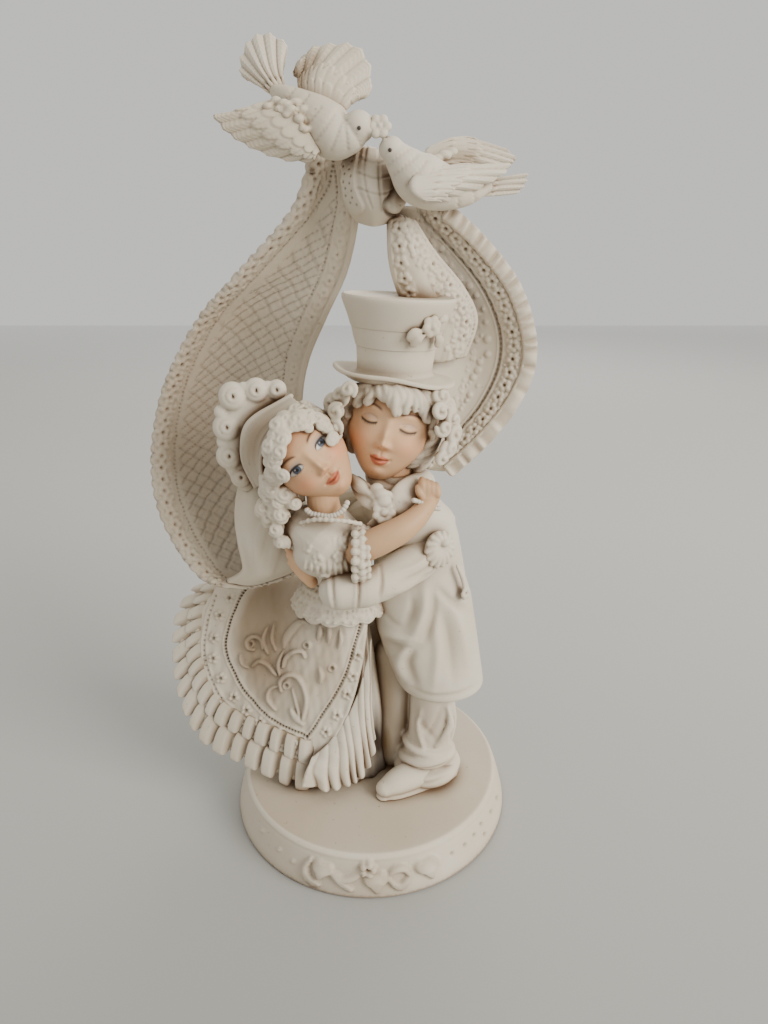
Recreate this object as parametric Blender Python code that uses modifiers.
"""A bisque porcelain cake topper: a bride and groom embracing on a round base, under a lace
veil that two doves hold up. It was fired as one piece, so it is one solid.

Figure points are millimetres as on the real work, +Z up from the table and -Y towards the
viewer. The function at() turns them into metres for the height that is asked for.
"""

import math

import bmesh
import bpy
from mathutils import Matrix, Vector
from mathutils.noise import noise

# Driving dimensions, in metres
BASE_RADIUS = 0.050
BASE_TOP_RADIUS = 0.0473
BASE_HEIGHT = 0.0144
BASE_EDGE_ROUND = 0.0012
FIGURE_HEIGHT = 0.2316
VEIL_WALL = 0.0022
FEATHER_WALL = 0.0020
HAT_WALL = 0.0016
HAT_DEPTH = 0.004
RELIEF_HEIGHT = 0.0012
FOOT_SINK = 0.0015

# The pose was drawn at this size, in millimetres, with the feet at FOOT_LEVEL above the table
DRAWN_HEIGHT = 231.6
FOOT_LEVEL = 14.4
SCALE = FIGURE_HEIGHT / DRAWN_HEIGHT

# How finely the clay is joined into one body, and how many faces are kept
CLAY_GRAIN = 0.00075
KEPT_FACES = 8700
BASE_STEPS = 64

PORCELAIN = (0.80, 0.76, 0.69)


def at(x, y, z):
    """A drawn point in metres, above the base's top however thick the base is."""
    return Vector((x * SCALE, y * SCALE, BASE_HEIGHT + (z - FOOT_LEVEL) * SCALE))


def smooth_path(points, count, closed=False):
    """count points along a Catmull-Rom curve through the given points."""
    last = len(points) - 1
    spans = len(points) if closed else last

    def knot(i):
        if closed:
            return points[i % len(points)]
        return points[min(max(i, 0), last)]

    path = []
    for k in range(count):
        where = k / (count if closed else count - 1) * spans
        i = min(int(where), spans - 1)
        t = where - i
        a, b, c, d = knot(i - 1), knot(i), knot(i + 1), knot(i + 2)
        path.append(
            tuple(
                0.5 * (2 * q + (r - p) * t + (2 * p - 5 * q + 4 * r - s) * t * t
                       + (3 * q - p - 3 * r + s) * t**3)
                for p, q, r, s in zip(a, b, c, d)
            )
        )
    return path


def clear_scene():
    for obj in list(bpy.data.objects):
        bpy.data.objects.remove(obj)


def new_collection(name):
    made = bpy.data.collections.new(name)
    bpy.context.scene.collection.children.link(made)
    return made


def porcelain_material():
    material = bpy.data.materials.new("bisque_porcelain")
    material.use_nodes = True
    shader = material.node_tree.nodes["Principled BSDF"]
    shader.inputs["Base Color"].default_value = (*PORCELAIN, 1.0)
    shader.inputs["Roughness"].default_value = 0.62
    shader.inputs["Metallic"].default_value = 0.0
    return material


def keep_clay(mesh_builder, clay, name):
    """Links a bmesh to the clay that becomes the figure."""
    mesh = bpy.data.meshes.new(name)
    mesh_builder.to_mesh(mesh)
    mesh_builder.free()
    obj = bpy.data.objects.new(name, mesh)
    clay.objects.link(obj)
    return obj


def basis(forward, up):
    """A rotation whose -Y axis is forward and whose +Z axis is near up."""
    y = -Vector(forward).normalized()
    x = y.cross(Vector(up)).normalized()
    return Matrix((x, y, x.cross(y))).transposed().to_4x4()


# Forms that the clay is made of


def blob(clay, name, centre, radii, turn=None, segments=20):
    """An egg of clay: centre and radii in drawn millimetres, turn a rotation matrix."""
    made = bmesh.new()
    bmesh.ops.create_uvsphere(made, u_segments=segments, v_segments=segments // 2 + 2, radius=1.0)
    size = Matrix.Diagonal((*(r * SCALE for r in radii), 1.0))
    placed = Matrix.Translation(at(*centre)) @ (turn or Matrix.Identity(4)) @ size
    bmesh.ops.transform(made, matrix=placed, verts=made.verts)
    return keep_clay(made, clay, name)


def limb(clay, name, points, radii, steps=4):
    """A tapering tube through drawn points, with a radius in drawn millimetres at each."""
    curve = bpy.data.curves.new(name, "CURVE")
    curve.dimensions = "3D"
    curve.bevel_depth = 1.0
    curve.bevel_resolution = 3
    curve.use_fill_caps = True
    count = (len(points) - 1) * steps + 1
    path = smooth_path([(*p, r) for p, r in zip(points, radii)], count)
    spline = curve.splines.new("POLY")
    spline.points.add(count - 1)
    for knot, (x, y, z, radius) in zip(spline.points, path):
        knot.co = (*at(x, y, z), 1.0)
        knot.radius = max(radius, 0.3) * SCALE
    guide = bpy.data.objects.new(name + "_curve", curve)
    clay.objects.link(guide)
    bpy.context.view_layer.update()
    mesh = bpy.data.meshes.new_from_object(guide.evaluated_get(bpy.context.evaluated_depsgraph_get()))
    bpy.data.objects.remove(guide)
    made = bmesh.new()
    made.from_mesh(mesh)
    bpy.data.meshes.remove(mesh)
    bmesh.ops.remove_doubles(made, verts=made.verts, dist=1e-6)
    return keep_clay(made, clay, name)


def grid_faces(made, rows, closed):
    """Quads between neighbouring rows of vertices; closed joins each row's ends."""
    for low, high in zip(rows, rows[1:]):
        columns = len(low) if closed else len(low) - 1
        for i in range(columns):
            j = (i + 1) % len(low)
            made.faces.new((low[i], low[j], high[j], high[i]))


def loft(clay, name, rings):
    """A closed body through rings of drawn points, with both ends filled."""
    made = bmesh.new()
    rows = [[made.verts.new(at(*p)) for p in ring] for ring in rings]
    grid_faces(made, rows, closed=True)
    made.faces.new(rows[0][::-1])
    made.faces.new(rows[-1])
    bmesh.ops.recalc_face_normals(made, faces=made.faces)
    return keep_clay(made, clay, name)


def cloth(clay, name, rows, wall, across=12, along=40):
    """A thick sheet through rows of drawn points: each row runs across, and rows follow on."""
    wide = [smooth_path(row, across) for row in rows]
    columns = [smooth_path([row[i] for row in wide], along) for i in range(across)]
    made = bmesh.new()
    net = [[made.verts.new(at(*columns[i][k])) for i in range(across)] for k in range(along)]
    grid_faces(made, net, closed=False)
    obj = keep_clay(made, clay, name)
    thick = obj.modifiers.new("wall", "SOLIDIFY")
    thick.thickness = wall
    thick.offset = 0.0
    thick.use_even_offset = False
    return obj


def ellipse(centre, across, deep, count=28, lean=0.0):
    """A ring of drawn points round centre; lean turns it about +Z, in degrees."""
    turned = math.radians(lean)
    ring = []
    for k in range(count):
        angle = 2 * math.pi * k / count
        x, y = across * math.cos(angle), deep * math.sin(angle)
        ring.append(
            (centre[0] + x * math.cos(turned) - y * math.sin(turned),
             centre[1] + x * math.sin(turned) + y * math.cos(turned),
             centre[2])
        )
    return ring


# The base


def turned_profile(name, profile, collection, steps=BASE_STEPS):
    """Turns a profile, given as radius and height from the outer top down, about the Z axis."""
    mesh = bpy.data.meshes.new(name)
    made = bmesh.new()
    points = [made.verts.new((r, 0.0, z)) for r, z in profile]
    for a, b in zip(points, points[1:]):
        made.edges.new((a, b))
    made.to_mesh(mesh)
    made.free()
    obj = bpy.data.objects.new(name, mesh)
    collection.objects.link(obj)
    screw = obj.modifiers.new("turn", "SCREW")
    screw.steps = screw.render_steps = steps
    screw.use_merge_vertices = True
    screw.merge_threshold = 1e-6
    return obj


def base_body(collection):
    """A round base with a softly bellied wall and a flat underside."""
    arc = 3
    profile = [(0.0, BASE_HEIGHT)]
    for k in range(arc + 1):
        angle = math.pi / 2 * (1 - k / arc)
        profile.append(
            (BASE_TOP_RADIUS - BASE_EDGE_ROUND * (1 - math.cos(angle)),
             BASE_HEIGHT - BASE_EDGE_ROUND * (1 - math.sin(angle)))
        )
    wall = 3
    for k in range(1, wall):
        share = k / wall
        radius = BASE_TOP_RADIUS + (BASE_RADIUS - BASE_TOP_RADIUS) * math.sin(math.pi / 2 * share)
        profile.append((radius, (BASE_HEIGHT - BASE_EDGE_ROUND) * (1 - share)))
    profile += [(BASE_RADIUS, BASE_HEIGHT * 0.1), (BASE_RADIUS - BASE_EDGE_ROUND, 0.0), (0.0, 0.0)]
    return turned_profile("base_body", profile, collection)


def on_wall(angle, height_share):
    """A point on the base's wall: angle in degrees from the front, height as a share."""
    radius = BASE_RADIUS - (BASE_RADIUS - BASE_TOP_RADIUS) * height_share**2
    turned = math.radians(angle)
    return Vector((radius * math.sin(turned), -radius * math.cos(turned), BASE_HEIGHT * height_share))


def heart_outline(size, count=18):
    """A heart of the given width, as x and height."""
    outline = []
    for k in range(count):
        t = 2 * math.pi * k / count
        x = 16 * math.sin(t) ** 3
        z = 13 * math.cos(t) - 5 * math.cos(2 * t) - 2 * math.cos(3 * t) - math.cos(4 * t)
        outline.append((x * size / 32, z * size / 32))
    return outline


def wall_heart(clay, name, angle, height_share, size, lean):
    """A heart that stands out of the base's wall by the relief's height."""
    centre = on_wall(angle, height_share)
    outward = Vector((centre.x, centre.y, 0.0)).normalized()
    side = Vector((-outward.y, outward.x, 0.0))
    turned = math.radians(lean)
    made = bmesh.new()
    rows = []
    for depth, spread in ((-RELIEF_HEIGHT, 1.0), (RELIEF_HEIGHT * 0.55, 0.94), (RELIEF_HEIGHT, 0.6)):
        row = []
        for x, z in heart_outline(size * spread):
            across = x * math.cos(turned) - z * math.sin(turned)
            up = x * math.sin(turned) + z * math.cos(turned)
            row.append(made.verts.new(centre + outward * depth + side * across + Vector((0, 0, up))))
        rows.append(row)
    grid_faces(made, rows, closed=True)
    made.faces.new(rows[0][::-1])
    made.faces.new(rows[-1])
    bmesh.ops.recalc_face_normals(made, faces=made.faces)
    return keep_clay(made, clay, name)


def base_hearts(clay):
    heart = BASE_HEIGHT * 0.62
    wall_heart(clay, "heart_left", -19, 0.52, heart, 24)
    wall_heart(clay, "heart_middle", 3, 0.40, heart, -6)
    wall_heart(clay, "heart_right", 22, 0.54, heart * 0.9, -22)


# The bride

WAIST = (-9, -3, 88)
HEM = [
    (-13, -18, 15), (-25, -17, 17), (-37, -14, 21), (-47, -11, 24), (-56, -8, 27),
    (-63, -5, 34), (-67, -1, 45), (-69, 4, 57), (-68, 10, 69), (-62, 17, 77),
    (-50, 26, 76), (-36, 32, 62), (-22, 33, 42), (-8, 29, 24), (4, 20, 15.5),
    (9, 8, 14.5), (9, -2, 14.5), (7, -10, 14.5), (-2, -16, 14.5),
]
HEM_FOOT = (-12, 2, 13.2)
HEM_COLUMNS = 76
SKIRT_ROWS = 10
PLEATS = 46
PLEAT_COLUMNS = 4


def skirt_point(waist, hem, share):
    """A point on the bell between a waist point and a hem point, 0 at the waist."""
    knee = [w + (h - w) * 0.62 for w, h in zip(waist, hem)]
    knee[2] = waist[2] + (hem[2] - waist[2]) * 0.30
    a, b, c = (1 - share) ** 2, 2 * share * (1 - share), share**2
    return tuple(a * w + b * k + c * h for w, k, h in zip(waist, knee, hem))


def skirt(clay):
    hem = smooth_path(HEM, HEM_COLUMNS, closed=True)
    start = math.atan2(HEM[0][1] - WAIST[1], HEM[0][0] - WAIST[0])
    waist = []
    for k in range(HEM_COLUMNS):
        angle = start - 2 * math.pi * k / HEM_COLUMNS
        waist.append((WAIST[0] + 9 * math.cos(angle), WAIST[1] + 7.5 * math.sin(angle), WAIST[2]))
    rings = []
    for row in range(SKIRT_ROWS + 1):
        share = row / SKIRT_ROWS
        rings.append([skirt_point(w, h, share) for w, h in zip(waist, hem)])
    under = [tuple(h + (f - h) * 0.42 for h, f in zip(p, HEM_FOOT)) for p in hem]
    foot = [(HEM_FOOT[0] + (p[0] - HEM_FOOT[0]) * 0.3, HEM_FOOT[1] + (p[1] - HEM_FOOT[1]) * 0.4,
             HEM_FOOT[2]) for p in hem]
    loft(clay, "skirt", rings + [under, foot])
    scrolls(clay, waist, hem)
    ruffle(clay, "ruffle_outer", hem, waist, 0.93, 1.045, 1.0)
    ruffle(clay, "ruffle_inner", hem, waist, 0.86, 0.955, 1.4)


SCROLLS = [
    [(0.60, 0.97), (0.56, 0.93), (0.48, 0.94), (0.40, 0.99), (0.36, 1.06), (0.42, 1.10), (0.47, 1.06)],
    [(0.62, 0.99), (0.66, 1.06), (0.72, 1.10), (0.78, 1.07), (0.76, 1.01), (0.71, 1.01)],
    [(0.58, 1.00), (0.50, 1.02), (0.44, 1.03)],
    [(0.63, 0.96), (0.70, 0.92), (0.78, 0.93), (0.82, 0.98)],
    [(0.61, 1.02), (0.62, 1.08), (0.57, 1.13), (0.51, 1.13)],
]


def scrolls(clay, waist, hem):
    """Raised scrollwork on the skirt's front, each curve as (share down, column share)."""
    for number, curve in enumerate(SCROLLS):
        path = []
        for share, column in smooth_path(curve, len(curve) * 3):
            k = int(round(column * HEM_COLUMNS)) % HEM_COLUMNS
            part = column * HEM_COLUMNS - round(column * HEM_COLUMNS)
            near = skirt_point(waist[k], hem[k], share)
            step = 1 if part > 0 else -1
            beside = (k + step) % HEM_COLUMNS
            far = skirt_point(waist[beside], hem[beside], share)
            path.append(tuple(a + (b - a) * abs(part) for a, b in zip(near, far)))
        width = RELIEF_HEIGHT / SCALE / 1000
        limb(clay, "scroll_%d" % number, path, [width * 1.1] * len(path), steps=1)


def ruffle(clay, name, hem, waist, start, end, lift):
    """A pleated frill on the skirt between two shares of its length."""
    count = PLEATS * PLEAT_COLUMNS
    fine_hem = smooth_path(hem, count, closed=True)
    fine_waist = smooth_path(waist, count, closed=True)
    rings = []
    for share, wave, rise in ((start, 0.2, 0.0), (end, 1.0, lift), (end - 0.01, 0.5, -1.2), (start, 0.0, -1.0)):
        ring = []
        for k, (w, h) in enumerate(zip(fine_waist, fine_hem)):
            x, y, z = skirt_point(w, h, share)
            out = Vector((h[0] - HEM_FOOT[0], h[1] - HEM_FOOT[1], 12)).normalized()
            push = rise + wave * 0.9 * math.cos(2 * math.pi * k / PLEAT_COLUMNS)
            ring.append((x + out.x * push, y + out.y * push, max(z + out.z * push, FOOT_LEVEL - 0.4)))
        rings.append(ring)
    made = bmesh.new()
    rows = [[made.verts.new(at(*p)) for p in ring] for ring in rings]
    grid_faces(made, rows + [rows[0]], closed=True)
    bmesh.ops.recalc_face_normals(made, faces=made.faces)
    return keep_clay(made, clay, name)


BRIDE_HEAD = (-15, -15, 139)
BRIDE_FACING = basis((0.26, -0.95, 0.10), (-0.66, 0.0, 0.75))


def on_head(head, facing, x, y, z):
    """A drawn point given in a head's own frame: x to its left, -y ahead, z up."""
    moved = facing @ Vector((x, y, z))
    return (head[0] + moved.x, head[1] + moved.y, head[2] + moved.z)


def bride_body(clay):
    loft(clay, "bodice", [
        ellipse((-9, -3, 84), 9.5, 8, lean=-15), ellipse((-10, -4, 90), 8.6, 7.5, lean=-15),
        ellipse((-12, -7, 98), 10.5, 8.6, lean=-15), ellipse((-13, -10, 107), 11.5, 9, lean=-15),
        ellipse((-13, -12, 114), 9.5, 8, lean=-15), ellipse((-13, -13, 119), 5, 5),
    ])
    limb(clay, "bride_neck", [(-12, -13, 114), (-13, -14, 128)], [5.2, 5.0])
    limb(clay, "sleeve", [(-17, -17, 112), (-12, -21, 109), (-5, -23, 108)], [8.5, 9.6, 7.4])
    limb(clay, "sleeve_frill", [(-5, -23, 108), (-2.5, -23.5, 109)], [8.4, 8.6])
    limb(clay, "forearm", [(-6, -22, 108), (2, -23, 110.5), (10, -21.5, 114), (19, -15, 120)],
         [4.8, 4.8, 4.2, 3.2])
    limb(clay, "bride_hand", [(18, -16, 119.5), (20, -12, 124), (18, -8, 127)], [3.4, 3.6, 2.0])
    limb(clay, "far_arm", [(-20, -6, 112), (-14, 6, 112), (2, 10, 116)], [6, 5, 4])
    peplum = [ellipse((-9, -3, 90), 8.5, 7.6), ellipse((-10, -4, 86), 12.5, 11.2),
              ellipse((-11, -5, 80), 15.5, 14.5)]
    loft(clay, "peplum", peplum)


def bride_head(clay):
    def head_point(x, y, z):
        return on_head(BRIDE_HEAD, BRIDE_FACING, x, y, z)

    blob(clay, "bride_skull", head_point(0, 1, 1), (11.2, 11.5, 11.5), BRIDE_FACING)
    blob(clay, "bride_face", head_point(0, -2.5, -4), (8.6, 8.8, 9.4), BRIDE_FACING)
    limb(clay, "bride_nose", [head_point(0, -11, -1), head_point(0, -12.6, -4.2)], [0.8, 1.5])
    for k in range(13):
        angle = math.radians(-118 + 236 * k / 12)
        centre = head_point(10.2 * math.sin(angle), -4.5 + 0.8 * (k % 2), 10.2 * math.cos(angle))
        blob(clay, "bride_curl_%d" % k, centre, (3.4, 3.6, 3.4), segments=12)
    for k in range(7):
        fall = k / 6
        centre = head_point(-10.5 + 1.5 * math.sin(k * 2.2), -1 + 2.4 * (k % 3), -4 - 12 * fall)
        blob(clay, "ringlet_%d" % k, centre, (4.0, 4.0, 4.0), segments=12)
    blob(clay, "bonnet_crown", head_point(0, 5.5, 4), (12.2, 10.5, 12.2), BRIDE_FACING)
    lobes = 8
    for k in range(lobes):
        angle = math.radians(-98 + 165 * k / (lobes - 1))
        reach = 16.0 if k < lobes - 1 else 13.5
        centre = head_point(reach * math.sin(angle), 0.5, 2 + reach * math.cos(angle))
        blob(clay, "bonnet_lobe_%d" % k, centre, (4.1, 1.5, 4.1), BRIDE_FACING, segments=14)
    frill = [head_point(13 * math.sin(math.radians(a)), 0.8, 2 + 13 * math.cos(math.radians(a)))
             for a in range(-110, 96, 20)]
    limb(clay, "bonnet_frill", frill, [2.4] * len(frill))


# The groom

GROOM_HEAD = (7.5, -4, 140.5)
GROOM_FACING = basis((-0.12, -0.93, -0.26), (0.20, -0.2, 0.95))


def groom_body(clay):
    loft(clay, "coat", [
        ellipse((25.5, -1, 47), 14.5, 13.5, lean=12), ellipse((24, -1, 50), 16.2, 14.5, lean=12),
        ellipse((22, -1, 60), 17.6, 14.5, lean=10), ellipse((20, -1, 72), 17.8, 13.5, lean=8),
        ellipse((18, -1, 84), 16, 12, lean=5), ellipse((16.5, -1, 95), 13, 10.5),
        ellipse((15, -2, 106), 14.5, 11.5), ellipse((12.5, -3, 114), 14.5, 11),
        ellipse((10, -4, 120), 10.5, 9.5), ellipse((9, -4, 126), 6.5, 6.5),
    ])
    limb(clay, "coat_fold_a", [(12, -13, 84), (17, -15.5, 76), (15, -15, 64)], [2.6, 2.4, 1.4])
    limb(clay, "coat_fold_b", [(21, -14.5, 62), (26, -13, 54), (36, -8, 50)], [2.0, 2.6, 2.2])
    limb(clay, "groom_neck", [(9, -3, 118), (8, -4, 130)], [5.8, 5.4])
    limb(clay, "near_arm", [(24, -1, 113), (27, -7, 105), (19, -15, 98), (8, -21, 94), (0, -23.5, 94.5)],
         [7.0, 8.4, 8.4, 7.8, 7.0])
    limb(clay, "near_cuff", [(0, -23.5, 94.5), (-6, -24, 95.5)], [7.7, 7.5])
    limb(clay, "near_hand", [(-6, -23.5, 96), (-14, -20, 98), (-21, -15, 104)], [5.2, 4.4, 2.4])
    limb(clay, "far_sleeve", [(3, 2, 112), (-8, 7, 106), (-20, 3, 101)], [6.5, 6.2, 5.0])
    limb(clay, "lapel_left", [(2, -11, 124), (4, -14, 116), (8, -13, 106)], [2.6, 3.4, 2.4])
    limb(clay, "lapel_right", [(15, -8, 125), (17, -12.5, 118), (13, -14, 108)], [3.0, 4.0, 2.4])
    blob(clay, "neck_bow", (5.5, -14, 119.5), (4.2, 2.6, 4.0))
    blob(clay, "sleeve_rosette", (23.5, -12.5, 106.5), (5.6, 2.6, 6.0), basis((0.45, -0.9, 0.1), (0, 0, 1)))
    blob(clay, "coat_rosette", (33, -7, 86), (2.4, 2.0, 4.0), basis((0.9, -0.5, 0), (0, 0, 1)))


def groom_legs(clay):
    limb(clay, "near_leg", [(23, -5, 52), (22.5, -7, 38), (22, -8, 28), (22, -9, 20)],
         [9.6, 8.4, 10.2, 11.2])
    limb(clay, "spat", [(22, -9, 21), (21.5, -9.5, 17.5)], [11.6, 9.8])
    limb(clay, "near_shoe", [(26, -8, 17), (16, -14, 17), (8, -18.5, 16), (3.5, -21, 15.6)],
         [7.0, 5.8, 4.6, 2.6])
    limb(clay, "far_leg", [(9, 1, 60), (8.5, 0, 38), (8.5, -1, 18)], [8, 6.4, 6.6])
    limb(clay, "far_shoe", [(8, -2, 17), (1, -8, 16), (-4, -12, 15.6)], [5.0, 4.4, 2.8])


def groom_head(clay):
    def head_point(x, y, z):
        return on_head(GROOM_HEAD, GROOM_FACING, x, y, z)

    blob(clay, "groom_skull", head_point(0, 1, 3), (12.6, 13, 13.5), GROOM_FACING)
    blob(clay, "groom_face", head_point(0, -2.5, -4), (10.2, 9.6, 10.8), GROOM_FACING)
    limb(clay, "groom_nose", [head_point(0, -12, 0), head_point(0, -13.6, -3.8)], [0.9, 1.7])
    for k in range(15):
        angle = math.radians(-125 + 250 * k / 14)
        centre = head_point(13.2 * math.sin(angle), -3.5 + 1.2 * (k % 2), 2 + 11.2 * math.cos(angle))
        blob(clay, "groom_curl_%d" % k, centre, (3.8, 4.4, 3.8), segments=12)
    for k in range(9):
        angle = math.radians(100 + 160 * k / 8)
        centre = head_point(12.5 * math.sin(angle), -9.5 * math.cos(angle) - 3, -5)
        blob(clay, "nape_curl_%d" % k, centre, (4.0, 4.4, 4.4), segments=12)


HAT_FOOT = (8.2, -3.5, 155.8)
HAT_AXIS = (0.06, -0.01, 1.0)


def hat(clay):
    """A flared top hat: a turned, dished crown on a brim whose sides curl up."""
    profile = [(0.0, 20.5), (15.8, 20.5 + 4.4), (17.1, 24.9), (15.6, 20), (13.4, 13), (12.2, 7), (11.9, 1.6)]
    dish = 24.9 - HAT_DEPTH / SCALE / 1000
    profile[0] = (0.0, dish)
    profile.insert(1, (15.8 - HAT_WALL * 300, dish))
    brim = [(18.4, 0.2), (18.4, -1.6), (11.5, -1.4), (0.0, -1.4)]
    made = bmesh.new()
    steps = 32
    turn = basis((0, -1, 0), HAT_AXIS)
    rows = []
    for r, z in profile[1:] + brim[:-1]:
        row = []
        for k in range(steps):
            angle = 2 * math.pi * k / steps
            curl = 1.9 * math.cos(angle) ** 2 if r > 18.2 else 0.0
            dip = -1.6 * abs(math.sin(angle)) if r > 18.2 else 0.0
            local = turn @ Vector((r * math.cos(angle), r * math.sin(angle) * 0.96, z + curl + dip))
            row.append(made.verts.new(at(*(f + c for f, c in zip(HAT_FOOT, local)))))
        rows.append(row)
    grid_faces(made, rows, closed=True)
    made.faces.new(rows[0][::-1])
    made.faces.new(rows[-1])
    bmesh.ops.recalc_face_normals(made, faces=made.faces)
    keep_clay(made, clay, "hat")
    limb(clay, "hat_flower", [(20.5, -12, 168), (23.5, -9.5, 171)], [2.4, 2.4])
    limb(clay, "hat_leaf", [(16.5, -15.5, 167), (19, -14, 167.5)], [1.6, 1.8])


# The veil

SAIL_ROWS = [
    [(-15, 5, 217), (-10, 7, 217), (-4, 3, 217)],
    [(-21, 7, 203), (-13, 11, 204), (-3, 6, 204)],
    [(-39, 9, 185), (-24, 16, 187), (-7, 12, 187)],
    [(-52, 11, 172), (-36, 20, 175), (-14, 14, 173)],
    [(-62, 11, 157), (-44, 22, 160), (-20, 12, 160)],
    [(-67.5, 10, 144), (-47, 23, 146), (-22, 5, 148)],
    [(-70.5, 7, 129), (-48, 22, 130), (-22, 2, 130)],
    [(-69, 3, 115), (-46, 18, 114), (-22, 1, 114)],
    [(-64, 0, 102), (-44, 12, 100), (-23, 1, 101)],
    [(-56, -4, 92.5), (-42, 4, 89.5), (-24, 0, 94)],
    [(-49, -6, 90), (-39, -5, 89.5), (-25, -6, 94.5)],
]
FLAP_ROWS = [
    [(-47, -5, 90), (-38, -7.5, 90), (-25, -6.5, 94)],
    [(-41, -8.5, 96), (-34, -12, 96), (-23, -9, 99)],
    [(-41.5, -9, 106), (-35, -13, 106), (-22, -9, 108)],
    [(-42, -8, 114), (-35, -12, 116), (-22, -8, 118)],
    [(-41, -6, 122), (-35, -9, 126), (-24, -7, 128)],
    [(-38, -4, 130), (-33, -5, 135), (-26, -4, 136)],
]
TRAIN_ROWS = [
    [(8, 4, 203), (15, 6, 203), (22, 5, 202)],
    [(8, 7, 194), (20, 11, 194), (32, 8, 194)],
    [(10, 9, 182), (28, 15, 182), (43, 11, 182)],
    [(14, 11, 170), (33, 18, 170), (49, 12, 168)],
    [(14, 11, 158), (33, 18, 158), (49.5, 12, 157)],
    [(12, 9, 147), (30, 15, 146), (44.5, 10, 146)],
    [(12, 6, 136), (25, 11, 136), (36, 7, 136)],
    [(10, 3, 127), (18, 7, 126), (25, 5, 126)],
]
FOLD_ROWS = [
    [(6, 2, 200), (10, 1, 201), (14, 3, 200)],
    [(6.5, 2.5, 190), (13, 1, 191), (20, 6, 192)],
    [(9, 5, 181), (18, 4, 181), (29, 10, 182)],
    [(14, 8, 171), (24, 8, 171), (34, 13, 172)],
    [(16, 9, 160), (23, 9, 160), (31, 13, 161)],
]
SWAG_ROWS = [
    [(-6, 2, 217), (1, -1, 218), (8, 1, 216)],
    [(-6.5, 0, 210), (2, -3.5, 210), (10.5, 0, 209)],
    [(-5, 1, 203), (2, -1.5, 203), (9.5, 1, 203)],
    [(-3, 3, 199.5), (2, 2, 199), (6.5, 3, 199.5)],
]


def veil(clay):
    cloth(clay, "sail", SAIL_ROWS, VEIL_WALL)
    cloth(clay, "sail_flap", FLAP_ROWS, VEIL_WALL, along=20)
    cloth(clay, "train", TRAIN_ROWS, VEIL_WALL)
    cloth(clay, "train_fold", FOLD_ROWS, VEIL_WALL, along=20)
    cloth(clay, "swag", SWAG_ROWS, VEIL_WALL * 1.9, along=16)
    rim = smooth_path([row[0] for row in SAIL_ROWS], 26)
    limb(clay, "sail_rim", rim, [1.5] * len(rim), steps=2)
    lobes = 27
    for k, (x, y, z) in enumerate(smooth_path([row[-1] for row in TRAIN_ROWS], lobes)):
        blob(clay, "train_lobe_%d" % k, (x + 1.4, y + 0.8, z), (2.6, 1.5, 2.3), segments=10)


# The doves


def wing(clay, name, root, tip, width, lift, feathers=5):
    """A wing from root to tip: long overlapping feathers under rounded coverts."""
    span = Vector(tip) - Vector(root)
    side = span.cross(Vector(lift)).normalized() * width
    for k in range(feathers):
        share = k / (feathers - 1)
        start = Vector(root) + side * (share - 0.5) * 0.7
        end = Vector(root) + span * (1.0 - 0.42 * share) + side * (share - 0.35)
        middle = (start + end) / 2 + Vector(lift) * 1.2
        limb(clay, "%s_feather_%d" % (name, k), [tuple(start), tuple(middle), tuple(end)],
             [2.3, 2.3, 0.9], steps=3)
    for k in range(3):
        centre = Vector(root) + span * (0.12 + 0.13 * k) + side * (0.1 * k - 0.1) + Vector(lift) * 1.4
        blob(clay, "%s_covert_%d" % (name, k), tuple(centre), (3.0, 2.2, 2.6), segments=10)


def doves(clay):
    limb(clay, "dove_left_body", [(-20, 3, 233), (-14, 0, 229), (-7, -4, 223.5), (-4, -6, 220), (-1, -8, 223)],
         [2.4, 4.6, 6.6, 5.6, 4.4])
    limb(clay, "dove_left_beak", [(1, -9, 222), (4.5, -10, 220.5)], [1.8, 0.6])
    for k in range(6):
        share = k / 5
        tip = (-34.5 + 10.5 * share, 6 + 2 * math.sin(3 * share), 236.5 + 9.5 * math.sin(1.3 * share))
        limb(clay, "dove_left_tail_%d" % k, [(-19, 3, 232.5), tip], [1.9, 2.3])
    wing(clay, "dove_left_wing", (-14, -4, 220), (-38.5, -6, 225), 9, (0, -0.9, 0.3))
    for k in range(6):
        share = k / 5
        tip = (-16 + 16 * share, 4 - 1.5 * share, 239 + 3.6 * math.sin(2.6 * share) - 4 * share)
        limb(clay, "dove_left_far_%d" % k, [(-6, -1, 227), tip], [2.6, 2.2])
    limb(clay, "dove_right_body", [(8, -8, 217), (13, -5, 212), (20, -3, 208), (30, 1, 207.5), (37, 4, 209)],
         [3.9, 5.2, 6.0, 4.4, 2.4])
    limb(clay, "dove_right_beak", [(6, -9, 218), (4.6, -9.4, 220)], [1.8, 0.7])
    for k in range(3):
        limb(clay, "dove_right_tail_%d" % k, [(35, 3.5, 209), (44, 5.5, 208 + 1.9 * k)], [1.9, 1.5])
    wing(clay, "dove_right_wing", (14, -8, 209.5), (40.5, -1, 213.5), 6, (0, -0.9, 0.4))
    wing(clay, "dove_right_far", (17, 3, 216), (41, 9, 216.5), 6, (0, 0.4, 0.9))
    blob(clay, "beak_flower", (4.6, -8.5, 222), (3.2, 2.2, 3.0))


# Joining the clay


def largest_shell(mesh_builder):
    """Keeps the shell that encloses everything, and drops the pockets sealed inside it."""
    unseen = set(mesh_builder.verts)
    shells = []
    while unseen:
        shell = []
        front = [unseen.pop()]
        while front:
            vertex = front.pop()
            shell.append(vertex)
            for edge in vertex.link_edges:
                other = edge.other_vert(vertex)
                if other in unseen:
                    unseen.discard(other)
                    front.append(other)
        shells.append(shell)
    shells.sort(key=len, reverse=True)
    print("shells of clay:", [len(shell) for shell in shells[:12]])
    pockets = [vertex for shell in shells[1:] for vertex in shell]
    bmesh.ops.delete(mesh_builder, geom=pockets, context="VERTS")


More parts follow.
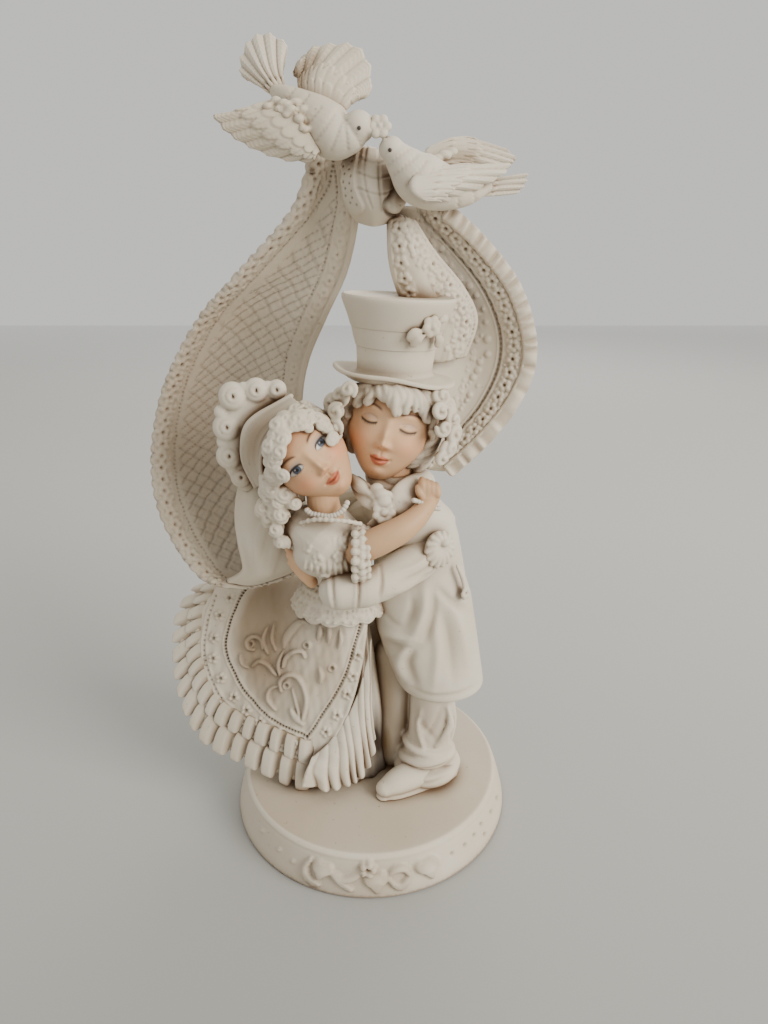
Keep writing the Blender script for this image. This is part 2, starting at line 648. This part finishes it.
def settle(obj):
    """Turns an object's modifiers into plain faces without sealed pockets, and counts them."""
    bpy.context.view_layer.update()
    mesh = bpy.data.meshes.new_from_object(
        obj.evaluated_get(bpy.context.evaluated_depsgraph_get())
    )
    made = bmesh.new()
    made.from_mesh(mesh)
    largest_shell(made)
    bmesh.ops.triangulate(made, faces=made.faces)
    made.to_mesh(mesh)
    triangles = len(made.faces)
    made.free()
    obj.modifiers.clear()
    obj.data = mesh
    return triangles


def fuse(clay, collection, material):
    """Joins every form into one closed body and thins its faces."""
    bpy.context.view_layer.update()
    graph = bpy.context.evaluated_depsgraph_get()
    made = bmesh.new()
    for obj in list(clay.objects):
        mesh = bpy.data.meshes.new_from_object(obj.evaluated_get(graph))
        mesh.transform(obj.matrix_world)
        made.from_mesh(mesh)
        bpy.data.meshes.remove(mesh)
    for obj in list(clay.objects):
        bpy.data.objects.remove(obj)
    body = bpy.data.meshes.new("cake_topper")
    made.to_mesh(body)
    made.free()
    body.materials.append(material)
    obj = bpy.data.objects.new("cake_topper", body)
    collection.objects.link(obj)
    joined = obj.modifiers.new("join", "REMESH")
    joined.mode = "VOXEL"
    joined.voxel_size = CLAY_GRAIN
    triangles = settle(obj)
    thinned = obj.modifiers.new("thin", "DECIMATE")
    thinned.ratio = min(1.0, KEPT_FACES / triangles)
    thinned.use_collapse_triangulate = True
    settle(obj)
    return obj


def stand_on_base(figure, helpers):
    """Unites the figure with the turned base, whose underside is flat at z = 0."""
    base = base_body(helpers)
    base.hide_render = True
    base.display_type = "WIRE"
    stand = figure.modifiers.new("stand", "BOOLEAN")
    stand.operation = "UNION"
    stand.object = base
    return settle(figure)


def main():
    clear_scene()
    parts = new_collection("porcelain_cake_topper")
    clay = new_collection("clay")
    helpers = new_collection("helpers")
    material = porcelain_material()
    base_hearts(clay)
    skirt(clay)
    bride_body(clay)
    bride_head(clay)
    groom_body(clay)
    groom_legs(clay)
    groom_head(clay)
    hat(clay)
    veil(clay)
    doves(clay)
    figure = fuse(clay, parts, material)
    print("triangles:", stand_on_base(figure, helpers))


main()
